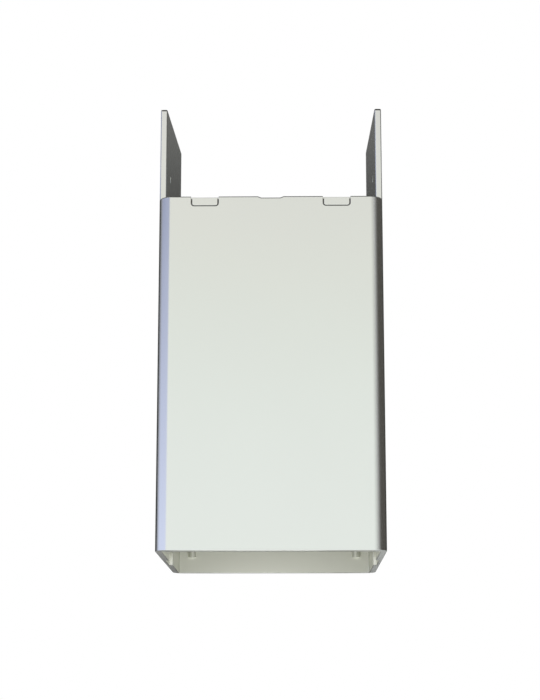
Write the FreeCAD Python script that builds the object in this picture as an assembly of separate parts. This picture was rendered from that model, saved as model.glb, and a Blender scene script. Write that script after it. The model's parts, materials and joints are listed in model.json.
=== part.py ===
# Housing of a dispenser, machined from one length of rectangular aluminium tube.
#
# The tube stands upright and is open at both ends. Two ears, which are the side walls carried on
# over the low front and rear walls, hold a lid between them. The top edge of the front wall has
# two catch tabs, each with a narrow groove milled round it, and a shallow dip in the middle. Inside,
# a recess near the bottom of each side wall and two ribs on the rear wall guide what slides in.
#
# Frame: millimetres. The origin is the middle of the bottom rim, +Z is up, the front is at -Y
# and the right-hand ear is at +X.

import FreeCAD, Part
import math
import os

Vector = FreeCAD.Vector

# Tube
WIDTH = 100.0
DEPTH = 120.0
WALL = 3.0
CORNER_RADIUS = 6.0
TUBE_HEIGHT = 158.0

# Ears: how far their tops rise over the tube, and how far they stop short of the rear face
EAR_RISE_FRONT = 43.0
EAR_RISE_REAR = 54.2
EAR_REAR_SETBACK = 17.0
EAR_CORNER_RADIUS = 1.2

# Pivot hole in each ear, from the ear's front edge and from the top of the tube
PIVOT_DIAMETER = 3.2
PIVOT_SETBACK = 24.0
PIVOT_RISE = 17.0

# Catch tabs at the top edge of the front wall, and the groove milled round each of them
TAB_WIDTH = 11.3
TAB_HEIGHT = 3.6
TAB_DROP = 0.6
TAB_CORNER_RADIUS = 0.9
TAB_INSET = 14.95
GROOVE_SIDE_WIDTH = 0.55
GROOVE_LOWER_WIDTH = 0.35
GROOVE_SKIN = 1.0
GROOVE_CORNER_RADIUS = 1.4

# Dip in the middle of the front wall's top edge, with sloping ends
DIP_WIDTH = 11.4
DIP_END_RUN = 1.4
DIP_DEPTH = 0.6

# Guide recess inside each side wall, open at the bottom rim
RECESS_WIDTH = 24.0
RECESS_HEIGHT = 30.0
RECESS_SKIN = 1.5

# Guide ribs on the inside of the rear wall, cut back from the bottom rim
RIB_WIDTH = 3.8
RIB_PROJECTION = 3.6
RIB_INSET = 4.7
RIB_CUTBACK = 7.2

# Rounding of the outer edges
EDGE_RADIUS = 0.4

HALF_WIDTH = WIDTH / 2
HALF_DEPTH = DEPTH / 2
INNER_HALF_WIDTH = HALF_WIDTH - WALL
INNER_HALF_DEPTH = HALF_DEPTH - WALL
EAR_FRONT_Y = -HALF_DEPTH + CORNER_RADIUS
EAR_REAR_Y = HALF_DEPTH - EAR_REAR_SETBACK
TAB_X = HALF_WIDTH - TAB_INSET - TAB_WIDTH / 2
GROOVE_DEPTH = WALL - GROOVE_SKIN
RIB_X = INNER_HALF_WIDTH - RIB_INSET - RIB_WIDTH / 2

# The bore's corners follow the outside with an even wall, down to the smallest the die allows
INNER_CORNER_RADIUS = max(CORNER_RADIUS - WALL, 0.5)

# How far a cutting tool runs past the face it starts from, and a tolerance for finding edges
OVERRUN = 1.0
NEAR = 0.01


def prism(points, direction):
    """Straight-sided solid on the closed outline through the points."""
    outline = Part.makePolygon(points + [points[0]])
    return Part.Face(outline).extrude(direction)


def rounded_rectangle(half_x, half_y, radius):
    """Level face with a quarter circle at each corner."""
    diagonal = radius * (1 - math.sqrt(0.5))
    corners = [(1, -1), (1, 1), (-1, 1), (-1, -1)]
    arcs = []
    for side_x, side_y in corners:
        on_side = Vector(side_x * half_x, side_y * (half_y - radius), 0)
        on_face = Vector(side_x * (half_x - radius), side_y * half_y, 0)
        middle = Vector(side_x * (half_x - diagonal), side_y * (half_y - diagonal), 0)
        if side_x * side_y < 0:
            arcs.append((on_face, middle, on_side))
        else:
            arcs.append((on_side, middle, on_face))
    edges = []
    for index, arc in enumerate(arcs):
        next_arc = arcs[(index + 1) % len(arcs)]
        edges.append(Part.Arc(*arc).toShape())
        edges.append(Part.makeLine(arc[2], next_arc[0]))
    return Part.Face(Part.Wire(edges))


def tube():
    """Length of extruded tube: a rounded outside and a rounded bore."""
    height = Vector(0, 0, TUBE_HEIGHT)
    outside = rounded_rectangle(HALF_WIDTH, HALF_DEPTH, CORNER_RADIUS).extrude(height)
    bore = rounded_rectangle(INNER_HALF_WIDTH, INNER_HALF_DEPTH, INNER_CORNER_RADIUS)
    return outside.cut(bore.extrude(height))


def outer_end_edges(shape):
    """Outer edges of the tube's two ends, each a closed loop."""
    found = []
    for edge in shape.Edges:
        box = edge.BoundBox
        is_at_end = box.ZMax < NEAR or box.ZMin > TUBE_HEIGHT - NEAR
        reaches_side = max(abs(box.XMin), abs(box.XMax)) > HALF_WIDTH - NEAR
        reaches_face = max(abs(box.YMin), abs(box.YMax)) > HALF_DEPTH - NEAR
        if is_at_end and (reaches_side or reaches_face):
            found.append(edge)
    return found


def ear(side):
    """Side wall carried on over the tube, with a sloping top and rounded edges."""
    x = side * HALF_WIDTH
    inwards = Vector(-side * WALL, 0, 0)
    low = TUBE_HEIGHT - WALL
    front_top = Vector(x, EAR_FRONT_Y, TUBE_HEIGHT + EAR_RISE_FRONT)
    rear_top = Vector(x, EAR_REAR_Y, TUBE_HEIGHT + EAR_RISE_REAR)
    plate = prism([Vector(x, EAR_FRONT_Y, low), front_top, rear_top, Vector(x, EAR_REAR_Y, low)], inwards)
    corners = [edge for edge in plate.Edges if runs_inwards_from(edge, (front_top, rear_top))]
    plate = plate.makeFillet(EAR_CORNER_RADIUS, corners)
    return plate.makeFillet(EDGE_RADIUS, [edge for edge in plate.Edges if is_on_ear_outline(edge, low)])


def runs_inwards_from(edge, points):
    """Whether an edge runs through the ear's thickness at one of the points."""
    box = edge.BoundBox
    if box.XLength < WALL / 2:
        return False
    return any(math.hypot(box.Center.y - p.y, box.Center.z - p.z) < NEAR for p in points)


def is_on_ear_outline(edge, low):
    """Whether an edge follows the ear's outline on its outer or inner face, above its root."""
    box = edge.BoundBox
    return box.XLength < NEAR and box.ZMax > low + NEAR


def rib(side):
    """Guide rib with a half-round nose, standing on the inside of the rear wall."""
    half = RIB_WIDTH / 2
    left = side * RIB_X - half
    right = side * RIB_X + half
    root = INNER_HALF_DEPTH + WALL / 2
    shoulder = INNER_HALF_DEPTH - max(RIB_PROJECTION - half, 0)
    nose = Vector(side * RIB_X, shoulder - half, RIB_CUTBACK)
    corners = [
        Vector(left, shoulder, RIB_CUTBACK),
        Vector(left, root, RIB_CUTBACK),
        Vector(right, root, RIB_CUTBACK),
        Vector(right, shoulder, RIB_CUTBACK),
    ]
    edges = [Part.makeLine(corners[index], corners[index + 1]) for index in range(3)]
    edges.append(Part.Arc(corners[3], nose, corners[0]).toShape())
    return Part.Face(Part.Wire(edges)).extrude(Vector(0, 0, TUBE_HEIGHT - RIB_CUTBACK))


def rounded_slot(middle, half_width, low, high, front, back, radius):
    """Block standing on the front wall, with its two lower corners rounded as seen from the front."""
    corner = Vector(middle - half_width, front, low)
    block = Part.makeBox(2 * half_width, back - front, high - low, corner)
    lower_corners = []
    for edge in block.Edges:
        box = edge.BoundBox
        if box.YLength > (back - front) / 2 and box.ZMax < low + NEAR:
            lower_corners.append(edge)
    return block.makeFillet(radius, lower_corners)


def groove(side):
    """Tool for the groove round a catch tab: a slot with the tab left standing in it."""
    middle = side * TAB_X
    tab_top = TUBE_HEIGHT - TAB_DROP
    tab_foot = tab_top - TAB_HEIGHT
    groove_foot = tab_foot - GROOVE_LOWER_WIDTH
    half_slot = TAB_WIDTH / 2 + GROOVE_SIDE_WIDTH
    front = -HALF_DEPTH - OVERRUN
    back = -HALF_DEPTH + GROOVE_DEPTH
    top = TUBE_HEIGHT + OVERRUN
    slot = rounded_slot(middle, half_slot, groove_foot, top, front, back, GROOVE_CORNER_RADIUS)
    tab = rounded_slot(middle, TAB_WIDTH / 2, tab_foot, tab_top, front - OVERRUN, back + OVERRUN,
                       TAB_CORNER_RADIUS)
    return slot.cut(tab)


def dip():
    """Tool for the dip, a flat trapezium cut right through the front wall."""
    y = -HALF_DEPTH - OVERRUN
    half_top = DIP_WIDTH / 2 + OVERRUN * DIP_END_RUN / DIP_DEPTH
    half_floor = DIP_WIDTH / 2 - DIP_END_RUN
    top = TUBE_HEIGHT + OVERRUN
    floor = TUBE_HEIGHT - DIP_DEPTH
    points = [
        Vector(-half_top, y, top),
        Vector(half_top, y, top),
        Vector(half_floor, y, floor),
        Vector(-half_floor, y, floor),
    ]
    return prism(points, Vector(0, WALL + 2 * OVERRUN, 0))


def recess(side):
    """Tool for the guide recess in the inside of a side wall."""
    deep = HALF_WIDTH - RECESS_SKIN
    shallow = INNER_HALF_WIDTH - OVERRUN
    low_x = shallow if side > 0 else -deep
    corner = Vector(low_x, -RECESS_WIDTH / 2, -OVERRUN)
    return Part.makeBox(deep - shallow, RECESS_WIDTH, RECESS_HEIGHT + OVERRUN, corner)


def pivot_bore():
    """Tool for the pivot holes, one drilling through both ears."""
    start = Vector(-HALF_WIDTH - OVERRUN, EAR_FRONT_Y + PIVOT_SETBACK, TUBE_HEIGHT + PIVOT_RISE)
    return Part.makeCylinder(PIVOT_DIAMETER / 2, WIDTH + 2 * OVERRUN, start, Vector(1, 0, 0))


def housing():
    """The whole machined tube, one solid."""
    body = tube()
    body = body.makeFillet(EDGE_RADIUS, outer_end_edges(body))
    body = body.fuse([ear(-1), ear(1), rib(-1), rib(1)]).removeSplitter()
    body = body.cut([groove(-1), groove(1), dip(), recess(-1), recess(1), pivot_bore()])
    return body.Solids[0]


os.makedirs("parts", exist_ok=True)
solid = housing()
box = solid.optimalBoundingBox(False, False)
print("housing valid", solid.isValid(), "volume mm3", round(solid.Volume, 1))
print("size mm", round(box.XLength, 2), round(box.YLength, 2), round(box.ZLength, 2))
solid.exportStep("parts/housing.step")
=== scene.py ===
# %% [markdown]
# # Housing of a dispenser
# The object is one length of rectangular aluminium tube. Its ends are milled, two side walls are left
# standing as ears, and the whole part is bead-blasted and then anodised in its natural colour.
# The imported model gives every size and place that matters, so it is loaded first and never changed.
# Its box is kept from the start.

# %% Load the frame
import json
import math

import bmesh
import bpy
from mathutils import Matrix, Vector

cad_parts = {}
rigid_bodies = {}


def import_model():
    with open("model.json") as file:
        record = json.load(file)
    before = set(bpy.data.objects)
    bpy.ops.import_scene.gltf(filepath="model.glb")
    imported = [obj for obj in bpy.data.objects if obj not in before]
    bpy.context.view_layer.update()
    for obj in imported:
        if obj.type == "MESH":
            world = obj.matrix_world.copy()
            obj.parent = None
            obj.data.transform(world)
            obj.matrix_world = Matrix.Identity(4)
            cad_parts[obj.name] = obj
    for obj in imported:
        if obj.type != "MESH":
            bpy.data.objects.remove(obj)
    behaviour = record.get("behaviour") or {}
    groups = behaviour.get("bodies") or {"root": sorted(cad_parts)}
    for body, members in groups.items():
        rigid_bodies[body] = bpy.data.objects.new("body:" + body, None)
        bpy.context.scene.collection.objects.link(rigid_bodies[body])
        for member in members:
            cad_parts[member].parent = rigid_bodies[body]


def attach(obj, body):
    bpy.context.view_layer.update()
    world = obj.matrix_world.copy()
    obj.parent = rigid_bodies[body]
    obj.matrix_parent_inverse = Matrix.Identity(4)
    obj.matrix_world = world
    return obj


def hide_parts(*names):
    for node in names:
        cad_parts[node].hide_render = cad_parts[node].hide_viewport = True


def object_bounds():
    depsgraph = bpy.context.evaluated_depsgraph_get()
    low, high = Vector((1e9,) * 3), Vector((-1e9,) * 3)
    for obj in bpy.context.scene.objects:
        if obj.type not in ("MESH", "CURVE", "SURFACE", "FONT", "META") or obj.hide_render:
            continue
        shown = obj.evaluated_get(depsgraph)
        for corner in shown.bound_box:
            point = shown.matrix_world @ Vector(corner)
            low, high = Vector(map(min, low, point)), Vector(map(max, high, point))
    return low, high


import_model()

MM = 0.001
CAD_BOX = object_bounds()
BODY = "root"
NODE = "housing"

print("box in mm", [[round(v / MM, 2) for v in corner] for corner in CAD_BOX])

# %% [markdown]
# ## Camera
# The photograph looks slightly up at the front wall, with a long lens, from just below the bottom rim.
# A camera could be aimed by eye. Here its place and tilt come from the perspective of the tube's long
# edges, which run together towards the top, and the lens from the focal length in pixels.

# %% Camera
IMAGE_HEIGHT_PX = 700
FOCAL_PX = 1744.1
SENSOR_MM = 36.0
CAMERA_PLACE = Vector((10.59, -807.36, -68.88)) * MM
CAMERA_PITCH = math.radians(11.838)
CAMERA_YAW = math.radians(0.836)

camera_data = bpy.data.cameras.new("camera")
camera_data.sensor_width = SENSOR_MM
camera_data.lens = FOCAL_PX * SENSOR_MM / IMAGE_HEIGHT_PX
camera_data.clip_start = 0.01
camera = bpy.data.objects.new("camera", camera_data)
camera.location = CAMERA_PLACE
camera.rotation_euler = (math.pi / 2 + CAMERA_PITCH, 0, CAMERA_YAW)
bpy.context.scene.collection.objects.link(camera)
bpy.context.scene.camera = camera
print("lens in mm", round(camera_data.lens, 2))

# %% [markdown]
# ## Tube
# The real tube is pressed through a die, so its section is the same all the way up. The section could be
# drawn as two rounded rectangles and bridged. Here one rectangle has its corners bevelled, an inset of
# one wall thickness makes the bore, and the bore's corners are then tightened by moving their points, so
# that inside and outside keep the same number of steps and every wall face has four sides. The ring is
# pushed up to the height of the front wall.

# %% Section of the tube
HALF_WIDTH = CAD_BOX[1][0]
HALF_DEPTH = CAD_BOX[1][1]
WALL = 3.0 * MM
CORNER_RADIUS = 6.0 * MM
BORE_CORNER_RADIUS = 0.8 * MM
CORNER_SEGMENTS = 16
TUBE_HEIGHT = 158.0 * MM
TINY = 0.01 * MM


def rounded_section(bm, size, radius, segments):
    """Adds a level face of the given size about the origin, with rounded corners, and returns it."""
    made = bmesh.ops.create_grid(bm, x_segments=1, y_segments=1, size=0.5)
    corners = made["verts"]
    bmesh.ops.scale(bm, vec=(size[0], size[1], 1), verts=corners)
    bmesh.ops.bevel(bm, geom=corners, offset=radius, offset_type="OFFSET", segments=segments,
                    profile=0.5, affect="VERTICES", material=-1, clamp_overlap=True)
    bm.faces.ensure_lookup_table()
    return bm.faces[-1]


def push(bm, faces, distance):
    """Extrudes faces by a distance given as a vector, and returns the new geometry's vertices."""
    made = bmesh.ops.extrude_face_region(bm, geom=faces)
    moved = [item for item in made["geom"] if isinstance(item, bmesh.types.BMVert)]
    bmesh.ops.translate(bm, vec=distance, verts=moved)
    return moved


body = bmesh.new()
section = rounded_section(body, (2 * HALF_WIDTH, 2 * HALF_DEPTH), CORNER_RADIUS, CORNER_SEGMENTS)
bmesh.ops.inset_region(body, faces=[section], thickness=WALL, use_even_offset=True, use_boundary=True)
bore_verts = list(section.verts)
bmesh.ops.delete(body, geom=[section], context="FACES_ONLY")
for vert in bore_verts:
    inner_corner = Vector((math.copysign(HALF_WIDTH - WALL, vert.co.x),
                           math.copysign(HALF_DEPTH - WALL, vert.co.y), 0))
    vert.co = inner_corner.lerp(vert.co, BORE_CORNER_RADIUS / (CORNER_RADIUS - WALL))
push(body, body.faces[:], Vector((0, 0, TUBE_HEIGHT)))
bmesh.ops.recalc_face_normals(body, faces=body.faces)
print("tube faces", len(body.faces), "wall faces meet at", CORNER_SEGMENTS, "steps a corner")

# %% [markdown]
# ## Ears
# The ears aren't added to the tube: the saw and the mill take the front and rear walls down and leave the
# side walls standing. In the mesh it is easier to go the other way, so the top of each side wall is cut
# off square behind the front corner's round and short of the rear, and that strip is pushed up. Its rear
# end is lifted more than its front one, which gives the sloping top, and the two corners through the
# plate are bevelled. Faces that lie flat with each other are joined again at the end.

# %% Ears
EAR_RISE_FRONT = 43.0 * MM
EAR_RISE_REAR = 54.2 * MM
EAR_FRONT_Y = -HALF_DEPTH + CORNER_RADIUS
EAR_REAR_Y = HALF_DEPTH - 17.0 * MM
EAR_CORNER_RADIUS = 1.0 * MM
EAR_CORNER_SEGMENTS = 4
FLAT = math.radians(0.5)


def is_ear_root(face):
    """Whether a face is the strip of the tube's top that an ear stands on."""
    middle = face.calc_center_median()
    is_on_top = middle.z > TUBE_HEIGHT - TINY
    return is_on_top and abs(middle.x) > HALF_WIDTH - WALL and EAR_FRONT_Y < middle.y < EAR_REAR_Y


for cut_y in (EAR_FRONT_Y, EAR_REAR_Y):
    bmesh.ops.bisect_plane(body, geom=body.verts[:] + body.edges[:] + body.faces[:], dist=TINY,
                           plane_co=(0, cut_y, 0), plane_no=(0, 1, 0))
roots = [face for face in body.faces if is_ear_root(face)]
raised = push(body, roots, Vector((0, 0, EAR_RISE_FRONT)))
bmesh.ops.delete(body, geom=roots, context="FACES_ONLY")
rear_verts = [vert for vert in raised if vert.co.y > EAR_REAR_Y - TINY]
bmesh.ops.translate(body, vec=(0, 0, EAR_RISE_REAR - EAR_RISE_FRONT), verts=rear_verts)

through_edges = []
for edge in body.edges:
    ends = edge.verts
    is_raised = min(ends[0].co.z, ends[1].co.z) > TUBE_HEIGHT + TINY
    if is_raised and abs(ends[0].co.x - ends[1].co.x) > WALL / 2:
        through_edges.append(edge)
bmesh.ops.bevel(body, geom=through_edges, offset=EAR_CORNER_RADIUS, offset_type="OFFSET",
                segments=EAR_CORNER_SEGMENTS, profile=0.5, affect="EDGES", material=-1, clamp_overlap=True)
bmesh.ops.dissolve_limit(body, angle_limit=FLAT, verts=body.verts, edges=body.edges)
print("ears", len(roots), "rounded corners", len(through_edges), "faces", len(body.faces))

# %% [markdown]
# ## Cutters
# A narrow groove round each catch tab, a shallow dip, two guide recesses and the pivot holes are milled
# and drilled. They could be pressed into the mesh with bisects and extrudes. A boolean is chosen because
# it works as the mill does: each cutter is a small block of the tool's path, and what it leaves are whole
# flat faces. The groove is cut as a whole slot, and the tab is set back into it afterwards, because a
# block is simpler to draw than a bent path. The recess widens over its last stretch above the rim, as a
# lead-in for what slides in from below.

# %% Cutters
TAB_HALF = 5.65 * MM
TAB_X = 29.4 * MM
TAB_TOP = TUBE_HEIGHT - 0.6 * MM
TAB_FOOT = TAB_TOP - 3.6 * MM
TAB_CORNER_RADIUS = 0.9 * MM
GROOVE_SIDE_WIDTH = 0.55 * MM
GROOVE_FOOT = TAB_FOOT - 0.35 * MM
GROOVE_DEPTH = 2.0 * MM
GROOVE_CORNER_RADIUS = 1.4 * MM
SLOT_CORNER_SEGMENTS = 6
DIP_HALF_TOP = 5.7 * MM
DIP_HALF_FLOOR = 4.3 * MM
DIP_DEPTH = 0.6 * MM
RECESS_WIDTH = 24.0 * MM
RECESS_HEIGHT = 30.0 * MM
RECESS_SKIN = 1.5 * MM
LEAD_IN_HEIGHT = 8.0 * MM
LEAD_IN_TILT = math.radians(9)
PIVOT_RADIUS = 1.6 * MM
PIVOT_SEGMENTS = 48
PIVOT_PLACE = Vector((0, EAR_FRONT_Y + 24.0 * MM, TUBE_HEIGHT + 17.0 * MM))
OVERRUN = 1.0 * MM


def new_object(name, bm):
    """Turns a bmesh into an object at the origin and frees the bmesh."""
    mesh = bpy.data.meshes.new(name)
    bmesh.ops.recalc_face_normals(bm, faces=bm.faces)
    bm.to_mesh(mesh)
    bm.free()
    made = bpy.data.objects.new(name, mesh)
    bpy.context.scene.collection.objects.link(made)
    return made


def block_between(bm, low, high):
    """Adds a square block between two corners and returns its edges."""
    low, high = Vector(low), Vector(high)
    made = bmesh.ops.create_cube(bm, size=1.0)
    bmesh.ops.scale(bm, vec=high - low, verts=made["verts"])
    bmesh.ops.translate(bm, vec=(low + high) / 2, verts=made["verts"])
    return list({edge for vert in made["verts"] for edge in vert.link_edges})


def rounded_slot(bm, low, high, radius):
    """Adds a block between two corners, with its two lower corners rounded as seen from the front."""
    lower = []
    for edge in block_between(bm, low, high):
        runs_back = abs(edge.verts[0].co.y - edge.verts[1].co.y) > OVERRUN
        if runs_back and edge.verts[0].co.z < low[2] + TINY:
            lower.append(edge)
    bmesh.ops.bevel(bm, geom=lower, offset=radius, offset_type="OFFSET", segments=SLOT_CORNER_SEGMENTS,
                    profile=0.5, affect="EDGES", material=-1, clamp_overlap=True)


def groove_cutter(bm, side):
    """Adds the slot that a catch tab stands in, open at the top and the front."""
    half = TAB_HALF + GROOVE_SIDE_WIDTH
    low = (side * TAB_X - half, -HALF_DEPTH - OVERRUN, GROOVE_FOOT)
    high = (side * TAB_X + half, -HALF_DEPTH + GROOVE_DEPTH, TUBE_HEIGHT + OVERRUN)
    rounded_slot(bm, low, high, GROOVE_CORNER_RADIUS)


def catch_tab(bm, side):
    """Adds a catch tab, flush with the front wall and rooted in the skin behind the groove."""
    root = -HALF_DEPTH + (GROOVE_DEPTH + WALL) / 2
    low = (side * TAB_X - TAB_HALF, -HALF_DEPTH, TAB_FOOT)
    high = (side * TAB_X + TAB_HALF, root, TAB_TOP)
    rounded_slot(bm, low, high, TAB_CORNER_RADIUS)


def dip_cutter(bm):
    """Adds the cutter of the dip: a block whose lower face is drawn in to make its sloping ends."""
    slope = (DIP_HALF_TOP - DIP_HALF_FLOOR) / DIP_DEPTH
    half_high = DIP_HALF_TOP + slope * OVERRUN
    low = (-half_high, -HALF_DEPTH - OVERRUN, TUBE_HEIGHT - DIP_DEPTH)
    high = (half_high, -HALF_DEPTH + WALL + OVERRUN, TUBE_HEIGHT + OVERRUN)
    edges = block_between(bm, low, high)
    lower = {vert for edge in edges for vert in edge.verts if vert.co.z < TUBE_HEIGHT}
    bmesh.ops.scale(bm, vec=(DIP_HALF_FLOOR / half_high, 1, 1), verts=list(lower))


def recess_cutter(bm, side):
    """Adds the cutter of the guide recess inside one side wall, which widens towards the bottom rim."""
    deep = side * (HALF_WIDTH - RECESS_SKIN)
    shallow = side * (HALF_WIDTH - WALL - OVERRUN)
    low = (min(deep, shallow), -RECESS_WIDTH / 2, -OVERRUN)
    high = (max(deep, shallow), RECESS_WIDTH / 2, RECESS_HEIGHT)
    edges = block_between(bm, low, high)
    verts = {vert for edge in edges for vert in edge.verts}
    faces = {face for edge in edges for face in edge.link_faces}
    bmesh.ops.bisect_plane(bm, geom=[*verts, *edges, *faces], dist=TINY,
                           plane_co=(0, 0, LEAD_IN_HEIGHT), plane_no=(0, 0, 1))
    foot = [vert for vert in verts if vert.co.z < 0]
    run = math.tan(LEAD_IN_TILT) * (LEAD_IN_HEIGHT + OVERRUN)
    bmesh.ops.scale(bm, vec=(1, 1 + 2 * run / RECESS_WIDTH, 1), verts=foot)


def pivot_drill(bm):
    """Adds the drill that goes through both ears in one pass."""
    made = bmesh.ops.create_cone(bm, cap_ends=True, segments=PIVOT_SEGMENTS, radius1=PIVOT_RADIUS,
                                 radius2=PIVOT_RADIUS, depth=2 * (HALF_WIDTH + OVERRUN))
    turn = Vector((0, 0, 1)).rotation_difference(Vector((1, 0, 0))).to_matrix()
    bmesh.ops.rotate(bm, cent=(0, 0, 0), matrix=turn, verts=made["verts"])
    bmesh.ops.translate(bm, vec=PIVOT_PLACE, verts=made["verts"])


cutters = bmesh.new()
for side in (-1, 1):
    groove_cutter(cutters, side)
    recess_cutter(cutters, side)
dip_cutter(cutters)
pivot_drill(cutters)
cutter_object = new_object("cutters", cutters)
print("cutter faces", len(cutter_object.data.polygons))

# %% [markdown]
# ## Ribs and tabs
# The two ribs on the rear wall come with the tube from the die, and are milled back from the mouth with
# a slight slope. The tabs are what the groove leaves standing. Both could be pulled out of the wall's own
# faces. Here they are bars that start inside the wall, because a union then joins them without a seam.

# %% Ribs and tabs
RIB_WIDTH = 3.8 * MM
RIB_PROJECTION = 3.6 * MM
RIB_X = 40.4 * MM
RIB_CUTBACK = 7.2 * MM
RIB_RELIEF = 1.0 * MM
RIB_NOSE_RADIUS = RIB_WIDTH / 2 * 0.98
RIB_NOSE_SEGMENTS = 8


def rib_bar(bm, side):
    """Adds a guide rib: a bar with a round nose and a sloping foot, rooted in the rear wall."""
    rear = HALF_DEPTH - WALL / 2
    nose = HALF_DEPTH - WALL - RIB_PROJECTION
    x = side * RIB_X
    low = (x - RIB_WIDTH / 2, nose, RIB_CUTBACK)
    high = (x + RIB_WIDTH / 2, rear, TUBE_HEIGHT)
    edges = block_between(bm, low, high)
    verts = {vert for edge in edges for vert in edge.verts}
    foot = [vert for vert in verts if vert.co.z < high[2] and vert.co.y > nose + TINY]
    bmesh.ops.translate(bm, vec=(0, 0, RIB_RELIEF), verts=foot)
    front = []
    for edge in edges:
        stands = abs(edge.verts[0].co.z - edge.verts[1].co.z) > RIB_CUTBACK
        if stands and edge.verts[0].co.y < nose + TINY:
            front.append(edge)
    bmesh.ops.bevel(bm, geom=front, offset=RIB_NOSE_RADIUS, offset_type="OFFSET",
                    segments=RIB_NOSE_SEGMENTS, profile=0.5, affect="EDGES", material=-1, clamp_overlap=True)


ribs = bmesh.new()
tabs = bmesh.new()
for side in (-1, 1):
    rib_bar(ribs, side)
    catch_tab(tabs, side)
rib_object = new_object("ribs", ribs)
tab_object = new_object("tabs", tabs)
print("rib faces", len(rib_object.data.polygons), "tab faces", len(tab_object.data.polygons))

# %% [markdown]
# ## One solid
# The real part is one piece of metal, so the mesh is one closed skin too. The ribs and tabs could be left
# as bars that overlap the wall, but the skin would then hide faces inside the metal. So three booleans
# join the ribs, make the cuts and set the tabs back. Each ear's side is one large face with a small hole
# in it, and it is first parted along four lines round the hole, because a thin face that runs from a hole
# to a far corner shades as a streak.

# %% Make the cuts and join the ribs and tabs
HOLE_FRAME = 3.0 * MM


def frame_hole(bm, normal):
    """Parts the faces along two lines, one on each side of the pivot holes, square to the normal."""
    for distance in (-HOLE_FRAME, HOLE_FRAME):
        place = PIVOT_PLACE + Vector(normal) * distance
        bmesh.ops.bisect_plane(bm, geom=bm.verts[:] + bm.edges[:] + bm.faces[:], dist=TINY,
                               plane_co=place, plane_no=normal)


def bake(made):
    """Applies an object's modifiers and returns its new mesh."""
    bpy.context.view_layer.update()
    depsgraph = bpy.context.evaluated_depsgraph_get()
    made.data = bpy.data.meshes.new_from_object(made.evaluated_get(depsgraph))
    made.modifiers.clear()
    return made.data


frame_hole(body, (0, 1, 0))
frame_hole(body, (0, 0, 1))
housing = new_object("housing_shell", body)
steps = (("ribs", "UNION", rib_object), ("cuts", "DIFFERENCE", cutter_object), ("tabs", "UNION", tab_object))
for label, operation, tool in steps:
    boolean = housing.modifiers.new(label, "BOOLEAN")
    boolean.operation = operation
    boolean.solver = "EXACT"
    boolean.object = tool
machined = bake(housing)
for tool in (rib_object, cutter_object, tab_object):
    bpy.data.objects.remove(tool)
print("faces after the cuts", len(machined.polygons))

# %% [markdown]
# ## Broken edges
# Tumbling takes the sharpness off the rims and the ears, and blasting off every other outer edge. That
# thin round is what catches the light. A bevel could be cut into the mesh for each radius. Here every
# edge gets a weight, full on the outer rims and the ears, half round the inside of the mouth and small
# elsewhere, and one bevel modifier rounds them all, so the corners where two radii meet still close.
# Inner corners stay sharp, except at the ears' feet, where the mill's own nose leaves a round.

# %% Broken edges
EDGE_RADIUS = 0.55 * MM
EDGE_SEGMENTS = 3
SMALL_WEIGHT = 0.22
MOUTH_WEIGHT = 0.5
SHARP = math.radians(35)
LEVEL = 0.9
SIDEWAYS = 0.99


def rounding(edge):
    """Gives 1 on the outer rims, the ears' outlines and their feet, less on other outer edges, or 0."""
    middle = (edge.verts[0].co + edge.verts[1].co) / 2
    normals = [face.normal for face in edge.link_faces]
    is_level = any(abs(normal.z) > LEVEL for normal in normals)
    is_on_hole = (middle - PIVOT_PLACE).yz.length < 2 * PIVOT_RADIUS
    if edge.calc_face_angle(0) < SHARP or is_on_hole:
        return 0.0
    if not edge.is_convex:
        is_foot = abs(middle.z - TUBE_HEIGHT) < TINY and abs(middle.x) > HALF_WIDTH - WALL
        return 1.0 if is_foot and is_level else 0.0
    if middle.z > TUBE_HEIGHT + TINY:
        return 1.0 if any(abs(normal.x) > SIDEWAYS for normal in normals) else SMALL_WEIGHT
    is_on_skin = any(normal.xy.dot(middle.xy) > HALF_WIDTH - TINY for normal in normals)
    near_tab = abs(abs(middle.x) - TAB_X) < TAB_HALF + GROOVE_SIDE_WIDTH + TINY
    if is_on_skin and is_level and not (near_tab and middle.z > GROOVE_FOOT - TINY):
        return 1.0
    return MOUTH_WEIGHT if middle.z < TINY else SMALL_WEIGHT


bm = bmesh.new()
bm.from_mesh(machined)
bmesh.ops.remove_doubles(bm, verts=bm.verts, dist=TINY / 10)
bmesh.ops.recalc_face_normals(bm, faces=bm.faces)
weights = bm.edges.layers.float.new("bevel_weight_edge")
for edge in bm.edges:
    edge[weights] = rounding(edge)
for face in bm.faces:
    face.smooth = True
print("fully rounded edges", sum(edge[weights] == 1 for edge in bm.edges),
      "open edges", sum(not edge.is_manifold for edge in bm.edges),
      "volume mm3", round(bm.calc_volume() / MM ** 3, 1))
bm.to_mesh(machined)
bm.free()

rounds = housing.modifiers.new("broken_edges", "BEVEL")
rounds.limit_method = "WEIGHT"
rounds.width = EDGE_RADIUS
rounds.segments = EDGE_SEGMENTS
rounds.miter_outer = "MITER_SHARP"
rounds.use_clamp_overlap = False
bake(housing).set_sharp_from_angle(angle=SHARP)
weighted = housing.modifiers.new("face_weighted_normals", "WEIGHTED_NORMAL")
weighted.keep_sharp = True
weighted.weight = 100

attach(housing, BODY)
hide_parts(NODE)
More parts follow.
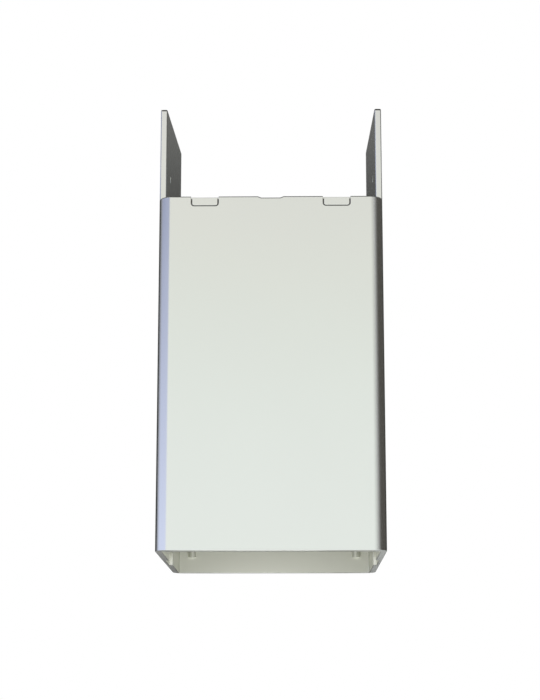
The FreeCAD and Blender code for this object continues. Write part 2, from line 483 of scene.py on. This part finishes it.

# %% [markdown]
# ## Finish
# Anodised aluminium keeps the metal's own reflection under a clear film of oxide. Blasting with fine
# glass beads first dents the surface all over, so it mirrors nothing sharply and shines softly in every
# direction. The dents are about a tenth of a millimetre wide, under one pixel here, so the grain is drawn
# at half a millimetre to show at all. The beads don't reach down the bore, which is only etched, so it is
# duller, a little yellower, and keeps the die's faint lines, which are drawn coarser for the same reason.
# The drill leaves dull walls, and the mill leaves the recesses' sides bright. The walls and floor of the
# narrow groove are painted dark grey, as painted shade for the dark gap round each tab. Each of these could
# be a material of its own. One material is chosen, because the real part is one metal whose finishes run
# into each other, and masks worked out from the part's own sizes say where each finish and the painted
# shade is.

# %% Colours and nodes
def linear(code):
    """Turns an sRGB hex colour into the linear colour that a shader takes."""
    channels = [int(code[start:start + 2], 16) / 255 for start in (1, 3, 5)]
    curved = [c / 12.92 if c <= 0.04045 else ((c + 0.055) / 1.055) ** 2.4 for c in channels]
    return (*curved, 1.0)


def add(tree, kind, inputs=None, **settings):
    """Adds a node, applies its settings, and sets or links its inputs by name or number."""
    made = tree.nodes.new(kind)
    for name, value in settings.items():
        setattr(made, name, value)
    for key, value in (inputs or {}).items():
        if isinstance(value, bpy.types.NodeSocket):
            tree.links.new(value, made.inputs[key])
        else:
            made.inputs[key].default_value = value
    return made


def new_material(name):
    """Makes an empty node material."""
    made = bpy.data.materials.new(name)
    made.use_nodes = True
    made.node_tree.nodes.clear()
    return made


# %% Bead-blasted anodised aluminium
GRAIN_MM = 0.5
DENT_DEPTH_MM = 0.02
CLOUD_MM = 45.0
DIE_LINE_MM = 0.7
DIE_LINE_LENGTH_MM = 300.0
ALUMINIUM = "#EDF0EE"
ETCHED = "#E9EAE1"
# The dark grey below is painted shade for the walls and floor of the groove round each tab.
GROOVE_PAINTED_SHADE = "#6E6D69"
BLASTED_ROUGHNESS = 0.21
ETCHED_ROUGHNESS = 0.46
DRILLED_ROUGHNESS = 0.6
MILLED_ROUGHNESS = 0.21
CLOUD_ROUGHNESS = 0.015
BLAST_REACH = 25.0 * MM
MASK_SLACK = 0.1 * MM
MASK_INSET = 0.05 * MM
GROOVE_SHADE_START = 0.2 * MM


def where(tree, ranges):
    """Gives 1 where every value lies in its range, each given as value, low end and high end, or 0."""
    cover = 1.0
    for value, low, high in ranges:
        held = add(tree, "ShaderNodeMath", {0: value, 1: (low + high) / 2, 2: (high - low) / 2},
                   operation="COMPARE")
        cover = add(tree, "ShaderNodeMath", {0: cover, 1: held.outputs[0]}, operation="MULTIPLY").outputs[0]
    return cover


def inside_bore(tree, split):
    """Gives 1 inside the tube, fading out over the stretch at the top that the blasting gun reaches."""
    half_x = HALF_WIDTH - RECESS_SKIN + MASK_SLACK
    half_y = HALF_DEPTH - WALL + MASK_SLACK
    bore = where(tree, ((split["X"], -half_x, half_x), (split["Y"], -half_y, half_y),
                        (split["Z"], MASK_SLACK, TUBE_HEIGHT)))
    reached = add(tree, "ShaderNodeMapRange", {"Value": split["Z"], "From Min": TUBE_HEIGHT,
                                               "From Max": TUBE_HEIGHT - BLAST_REACH},
                  interpolation_type="SMOOTHSTEP")
    return add(tree, "ShaderNodeMath", {0: bore, 1: reached.outputs["Result"]},
               operation="MULTIPLY").outputs[0]


def in_groove_painted_shade(tree, split, side):
    """Gives 1 on the walls and the floor of the two narrow grooves, where shade is painted in dark grey."""
    half = TAB_HALF + GROOVE_SIDE_WIDTH + MASK_SLACK
    start = -HALF_DEPTH + GROOVE_SHADE_START
    return where(tree, ((side, TAB_X - half, TAB_X + half), (split["Y"], start, start + GROOVE_DEPTH),
                        (split["Z"], GROOVE_FOOT + MASK_SLACK, TAB_TOP - MASK_SLACK)))


def in_pivot_hole(tree, split, side):
    """Gives 1 on the walls of the pivot holes."""
    reach = PIVOT_RADIUS + MASK_SLACK
    return where(tree, ((side, HALF_WIDTH - WALL + MASK_INSET, HALF_WIDTH - MASK_INSET),
                        (split["Y"], PIVOT_PLACE.y - reach, PIVOT_PLACE.y + reach),
                        (split["Z"], PIVOT_PLACE.z - reach, PIVOT_PLACE.z + reach)))


def on_recess_edge(tree, split, side):
    """Gives 1 on the milled sides of the guide recesses."""
    return where(tree, ((side, HALF_WIDTH - WALL + MASK_INSET, HALF_WIDTH - RECESS_SKIN - MASK_INSET),
                        (split["Z"], MASK_SLACK, RECESS_HEIGHT - MASK_SLACK)))


def blasted_aluminium():
    """Satin metal with a soft shine: a fine grain outside, the die's faint lines under an etch inside, and
    painted shade in the grooves.
    """
    made = new_material("anodised_aluminium_bead_blasted")
    tree = made.node_tree
    place = add(tree, "ShaderNodeTexCoord").outputs["Object"]
    split = add(tree, "ShaderNodeSeparateXYZ", {0: place}).outputs
    side = add(tree, "ShaderNodeMath", {0: split["X"]}, operation="ABSOLUTE").outputs[0]
    bore = inside_bore(tree, split)
    colour = add(tree, "ShaderNodeMix", {0: bore, 6: linear(ALUMINIUM), 7: linear(ETCHED)},
                 data_type="RGBA")
    # The groove's walls and floor get painted shade: a dark grey in place of the metal's colour.
    colour = add(tree, "ShaderNodeMix", {0: in_groove_painted_shade(tree, split, side), 6: colour.outputs[2],
                                         7: linear(GROOVE_PAINTED_SHADE)}, data_type="RGBA")
    grain = add(tree, "ShaderNodeTexNoise", {"Vector": place, "Scale": 1 / (GRAIN_MM * MM),
                                             "Detail": 2.0, "Roughness": 0.6})
    drawn = add(tree, "ShaderNodeMapping", {"Vector": place,
                                            "Scale": (1, 1, DIE_LINE_MM / DIE_LINE_LENGTH_MM)})
    lines = add(tree, "ShaderNodeTexNoise", {"Vector": drawn.outputs["Vector"],
                                             "Scale": 1 / (DIE_LINE_MM * MM), "Detail": 1.0})
    relief = add(tree, "ShaderNodeMix", {0: bore, 2: grain.outputs["Fac"], 3: lines.outputs["Fac"]})
    cloud = add(tree, "ShaderNodeTexNoise", {"Vector": place, "Scale": 1 / (CLOUD_MM * MM), "Detail": 3.0})
    blasted = add(tree, "ShaderNodeMapRange", {"Value": cloud.outputs["Fac"], "From Min": 0.35,
                                               "From Max": 0.65,
                                               "To Min": BLASTED_ROUGHNESS - CLOUD_ROUGHNESS,
                                               "To Max": BLASTED_ROUGHNESS + CLOUD_ROUGHNESS})
    rough = add(tree, "ShaderNodeMix", {0: bore, 2: blasted.outputs["Result"], 3: ETCHED_ROUGHNESS})
    for mask, value in ((in_pivot_hole, DRILLED_ROUGHNESS), (on_recess_edge, MILLED_ROUGHNESS)):
        rough = add(tree, "ShaderNodeMix", {0: mask(tree, split, side), 2: rough.outputs[0], 3: value})
    bump = add(tree, "ShaderNodeBump", {"Height": relief.outputs[0], "Strength": 0.12,
                                        "Distance": DENT_DEPTH_MM * MM})
    shader = add(tree, "ShaderNodeBsdfPrincipled", {"Base Color": colour.outputs[2], "Metallic": 1.0,
                                                    "Roughness": rough.outputs[0],
                                                    "Normal": bump.outputs["Normal"]})
    add(tree, "ShaderNodeOutputMaterial", {"Surface": shader.outputs["BSDF"]})
    return made


housing.data.materials.clear()
housing.data.materials.append(blasted_aluminium())
print("materials", [slot.material.name for slot in housing.material_slots])

# %% [markdown]
# ## Stage
# Metal shows only what stands round it. The part could be lit by lamps alone, but a satin metal would
# then show their bright spots and nothing between them. So it is lit as in a studio tent: a white surround
# that the camera and the metal both see, and cards and cloths that only the metal sees. A lavender card on
# the left colours that corner, and a dark one on the right and one behind draw the dark edges. Four cloths
# in different greys lie under the part, because its lower rims and its bore mirror what is below them. The
# floor is seen from above only, because the camera looks up past the bottom rim, and it fades into the
# white surround. Two large softboxes light the part from above, and a small one lights the bore from just
# under the mouth, where the front wall can't mirror it.

# %% White surround
FILL_STRENGTH = 0.7
WHITE_STRENGTH = 1.0

world = bpy.data.worlds.new("studio_tent")
bpy.context.scene.world = world
world.use_nodes = True
tree = world.node_tree
tree.nodes.clear()
path = add(tree, "ShaderNodeLightPath")
seen = add(tree, "ShaderNodeMath", {0: path.outputs["Is Camera Ray"], 1: path.outputs["Is Glossy Ray"]},
           operation="MAXIMUM")
seen = add(tree, "ShaderNodeMath", {0: seen.outputs[0], 1: path.outputs["Is Transmission Ray"]},
           operation="MAXIMUM")
dim = add(tree, "ShaderNodeBackground", {"Color": linear("#FFFFFF"), "Strength": FILL_STRENGTH})
white = add(tree, "ShaderNodeBackground", {"Color": linear("#FFFFFF"), "Strength": WHITE_STRENGTH})
mixed = add(tree, "ShaderNodeMixShader", {0: seen.outputs[0], 1: dim.outputs[0], 2: white.outputs[0]})
add(tree, "ShaderNodeOutputWorld", {"Surface": mixed.outputs[0]})
print("surround", world.name, "seen at", WHITE_STRENGTH, "and lighting at", FILL_STRENGTH)

# %% Cards round the part
CARD_LOW = -0.2
CARD_HIGH = 1.1
CARD_STEP = math.radians(5)


def card_material(name, stops, span, fades, strength):
    """Glow whose colour changes with height at the given stops and fades out towards the two sides."""
    made = new_material(name)
    tree = made.node_tree
    place = add(tree, "ShaderNodeTexCoord").outputs["Object"]
    split = add(tree, "ShaderNodeSeparateXYZ", {0: place})
    height = add(tree, "ShaderNodeMapRange", {"Value": split.outputs["Z"], "From Min": 0.0,
                                              "From Max": CARD_HIGH})
    ramp = add(tree, "ShaderNodeValToRGB", {"Fac": height.outputs["Result"]})
    steps = ramp.color_ramp.elements
    steps[0].position = stops[0][0] / CARD_HIGH
    for level, _ in stops[1:-1]:
        steps.new(level / CARD_HIGH)
    for step, (_, colour) in zip(steps, stops):
        step.color = linear(colour)
    front = add(tree, "ShaderNodeMath", {0: split.outputs["Y"], 1: -1.0}, operation="MULTIPLY")
    bearing = add(tree, "ShaderNodeMath", {0: split.outputs["X"], 1: front.outputs[0]}, operation="ARCTAN2")
    turned = add(tree, "ShaderNodeMath", {0: bearing.outputs[0], 1: span[0]}, operation="SUBTRACT")
    along = add(tree, "ShaderNodeMath", {0: turned.outputs[0], 1: 2 * math.pi, 2: 0.0}, operation="WRAP")
    width = span[1] - span[0]
    rise = add(tree, "ShaderNodeMapRange", {"Value": along.outputs[0], "From Min": 0.0,
                                            "From Max": fades[0]}, interpolation_type="SMOOTHSTEP")
    fall = add(tree, "ShaderNodeMapRange", {"Value": along.outputs[0], "From Min": width,
                                            "From Max": width - fades[1]}, interpolation_type="SMOOTHSTEP")
    cover = add(tree, "ShaderNodeMath", {0: rise.outputs["Result"], 1: fall.outputs["Result"]},
                operation="MULTIPLY")
    glow = add(tree, "ShaderNodeEmission", {"Color": ramp.outputs["Color"], "Strength": strength})
    clear = add(tree, "ShaderNodeBsdfTransparent")
    mixed = add(tree, "ShaderNodeMixShader", {0: cover.outputs[0], 1: clear.outputs[0], 2: glow.outputs[0]})
    add(tree, "ShaderNodeOutputMaterial", {"Surface": mixed.outputs[0]})
    made.cycles.emission_sampling = "NONE"
    return made


def show_to_metal_only(made):
    """Marks a card as part of the stage that only shows in reflections."""
    made.visible_camera = False
    made.visible_diffuse = False
    made.visible_transmission = False
    made.visible_shadow = False


def standing_card(name, radius, start, end, stops, fades, strength=1.0):
    """Stands a curved card round the part, between two angles from the front, positive to the right."""
    bm = bmesh.new()
    turn = math.radians(start) - math.pi / 2
    foot = Vector((math.cos(turn), math.sin(turn), 0)) * radius
    low = bm.verts.new(foot + Vector((0, 0, CARD_LOW)))
    high = bm.verts.new(foot + Vector((0, 0, CARD_HIGH)))
    edge = bm.edges.new((low, high))
    angle = math.radians(end - start)
    bmesh.ops.spin(bm, geom=[low, high, edge], cent=(0, 0, 0), axis=(0, 0, 1), angle=angle,
                   steps=max(2, round(angle / CARD_STEP)), use_merge=False)
    made = new_object(name, bm)
    span = (math.radians(start), math.radians(end))
    soft = [math.radians(value) for value in fades]
    made.data.materials.append(card_material(name, stops, span, soft, strength))
    show_to_metal_only(made)


def level_card(name, middle, size, colour):
    """Lays a level card of one colour over or under the part."""
    bm = bmesh.new()
    made = bmesh.ops.create_grid(bm, x_segments=1, y_segments=1, size=0.5)
    bmesh.ops.scale(bm, vec=(size[0], size[1], 1), verts=made["verts"])
    bmesh.ops.translate(bm, vec=middle, verts=made["verts"])
    flat = new_object(name, bm)
    material = new_material(name)
    glow = add(material.node_tree, "ShaderNodeEmission", {"Color": linear(colour), "Strength": 1.0})
    add(material.node_tree, "ShaderNodeOutputMaterial", {"Surface": glow.outputs[0]})
    material.cycles.emission_sampling = "NONE"
    flat.data.materials.append(material)
    show_to_metal_only(flat)


WHITE_STOPS = ((0.25, "#F5F8F4"), (0.42, "#EEF2EB"), (0.57, "#EBE8DF"), (0.72, "#F6F3F0"),
               (CARD_HIGH, "#8A8A86"))
LAVENDER_STOPS = ((0.0, "#D5DBF4"), (0.6, "#8F94AE"), (CARD_HIGH, "#4D4F5A"))
DARK_STOPS = ((0.0, "#524F4B"), (CARD_HIGH, "#524F4B"))
BEHIND_STOPS = ((0.1, "#30302E"), (0.54, "#444443"), (0.66, "#686866"), (CARD_HIGH, "#7E7E7C"))
standing_card("white_card_front", 1.50, -25, 40, WHITE_STOPS, (1, 10))
standing_card("lavender_card_left", 1.45, -150, -25, LAVENDER_STOPS, (70, 1), 1.25)
standing_card("dark_card_right", 1.40, 7, 140, DARK_STOPS, (66, 10))
standing_card("dark_card_behind", 1.35, 125, 280, BEHIND_STOPS, (10, 50))
level_card("dark_card_above", (0, 0, CARD_HIGH), (3.2, 3.2), "#4A4A48")

CLOTH_Z = -0.035
level_card("grey_cloth_left", (-0.20, 0.16, CLOTH_Z), (0.31, 0.56), "#929290")
level_card("pale_cloth_right", (0.20, 0.16, CLOTH_Z), (0.31, 0.56), "#B2B3B1")
level_card("pale_cloth_near", (0, -0.05, CLOTH_Z), (0.09, 0.14), "#BEBEB8")
level_card("dark_cloth_middle", (0, 0.2275, CLOTH_Z), (0.09, 0.415), "#4A4845")
hung = [made.name for made in bpy.data.objects if "card" in made.name or "cloth" in made.name]
print("cards and cloths", hung)

# %% Floor
FLOOR_RADIUS = 1.4
FLOOR_FULL_RADIUS = 0.25 * FLOOR_RADIUS
FLOOR_SEGMENTS = 64


def floor_material():
    """Pale painted floor that fades out with distance and isn't there when seen from below."""
    made = new_material("pale_matt_paint")
    tree = made.node_tree
    place = add(tree, "ShaderNodeTexCoord").outputs["Object"]
    away = add(tree, "ShaderNodeVectorMath", {0: place}, operation="LENGTH")
    near = add(tree, "ShaderNodeMapRange", {"Value": away.outputs["Value"], "From Min": FLOOR_RADIUS,
                                            "From Max": FLOOR_FULL_RADIUS},
               interpolation_type="SMOOTHSTEP")
    back = add(tree, "ShaderNodeNewGeometry").outputs["Backfacing"]
    from_above = add(tree, "ShaderNodeMath", {0: 1.0, 1: back}, operation="SUBTRACT")
    cover = add(tree, "ShaderNodeMath", {0: near.outputs["Result"], 1: from_above.outputs[0]},
                operation="MULTIPLY")
    paint = add(tree, "ShaderNodeBsdfDiffuse", {"Color": linear("#F2F2F0")})
    clear = add(tree, "ShaderNodeBsdfTransparent")
    mixed = add(tree, "ShaderNodeMixShader", {0: cover.outputs[0], 1: clear.outputs[0], 2: paint.outputs[0]})
    add(tree, "ShaderNodeOutputMaterial", {"Surface": mixed.outputs[0]})
    return made


bm = bmesh.new()
bmesh.ops.create_circle(bm, cap_ends=True, segments=FLOOR_SEGMENTS, radius=FLOOR_RADIUS)
floor = new_object("floor", bm)
floor.data.materials.append(floor_material())
floor.visible_diffuse = False
floor.visible_glossy = False
floor.visible_transmission = False
floor.visible_shadow = False
print("floor radius in m", FLOOR_RADIUS, "solid to", FLOOR_FULL_RADIUS)

# %% Lamps
def softbox(name, place, size, power):
    """Hangs a square lamp that faces the middle of the part."""
    data = bpy.data.lights.new(name, "AREA")
    data.size = size
    data.energy = power
    made = bpy.data.objects.new(name, data)
    made.location = place
    aim = Vector((0, 0, TUBE_HEIGHT / 2)) - Vector(place)
    made.rotation_euler = aim.to_track_quat("-Z", "Y").to_euler()
    made.visible_camera = False
    bpy.context.scene.collection.objects.link(made)
    return made


softbox("softbox_left", (-1.2, -1.0, 1.6), 1.2, 12.0)
softbox("softbox_right", (1.2, 0.6, 1.6), 1.2, 6.0)
softbox("softbox_under_the_mouth", (-0.005, -0.03, -0.05), 0.05, 0.06)
print("lamps", [lamp.name for lamp in bpy.data.lights])

# %% [markdown]
# ## View settings
# The Standard view shows colours as they are written.

# %% Finish
bpy.context.scene.view_settings.view_transform = "Standard"
bpy.context.view_layer.update()
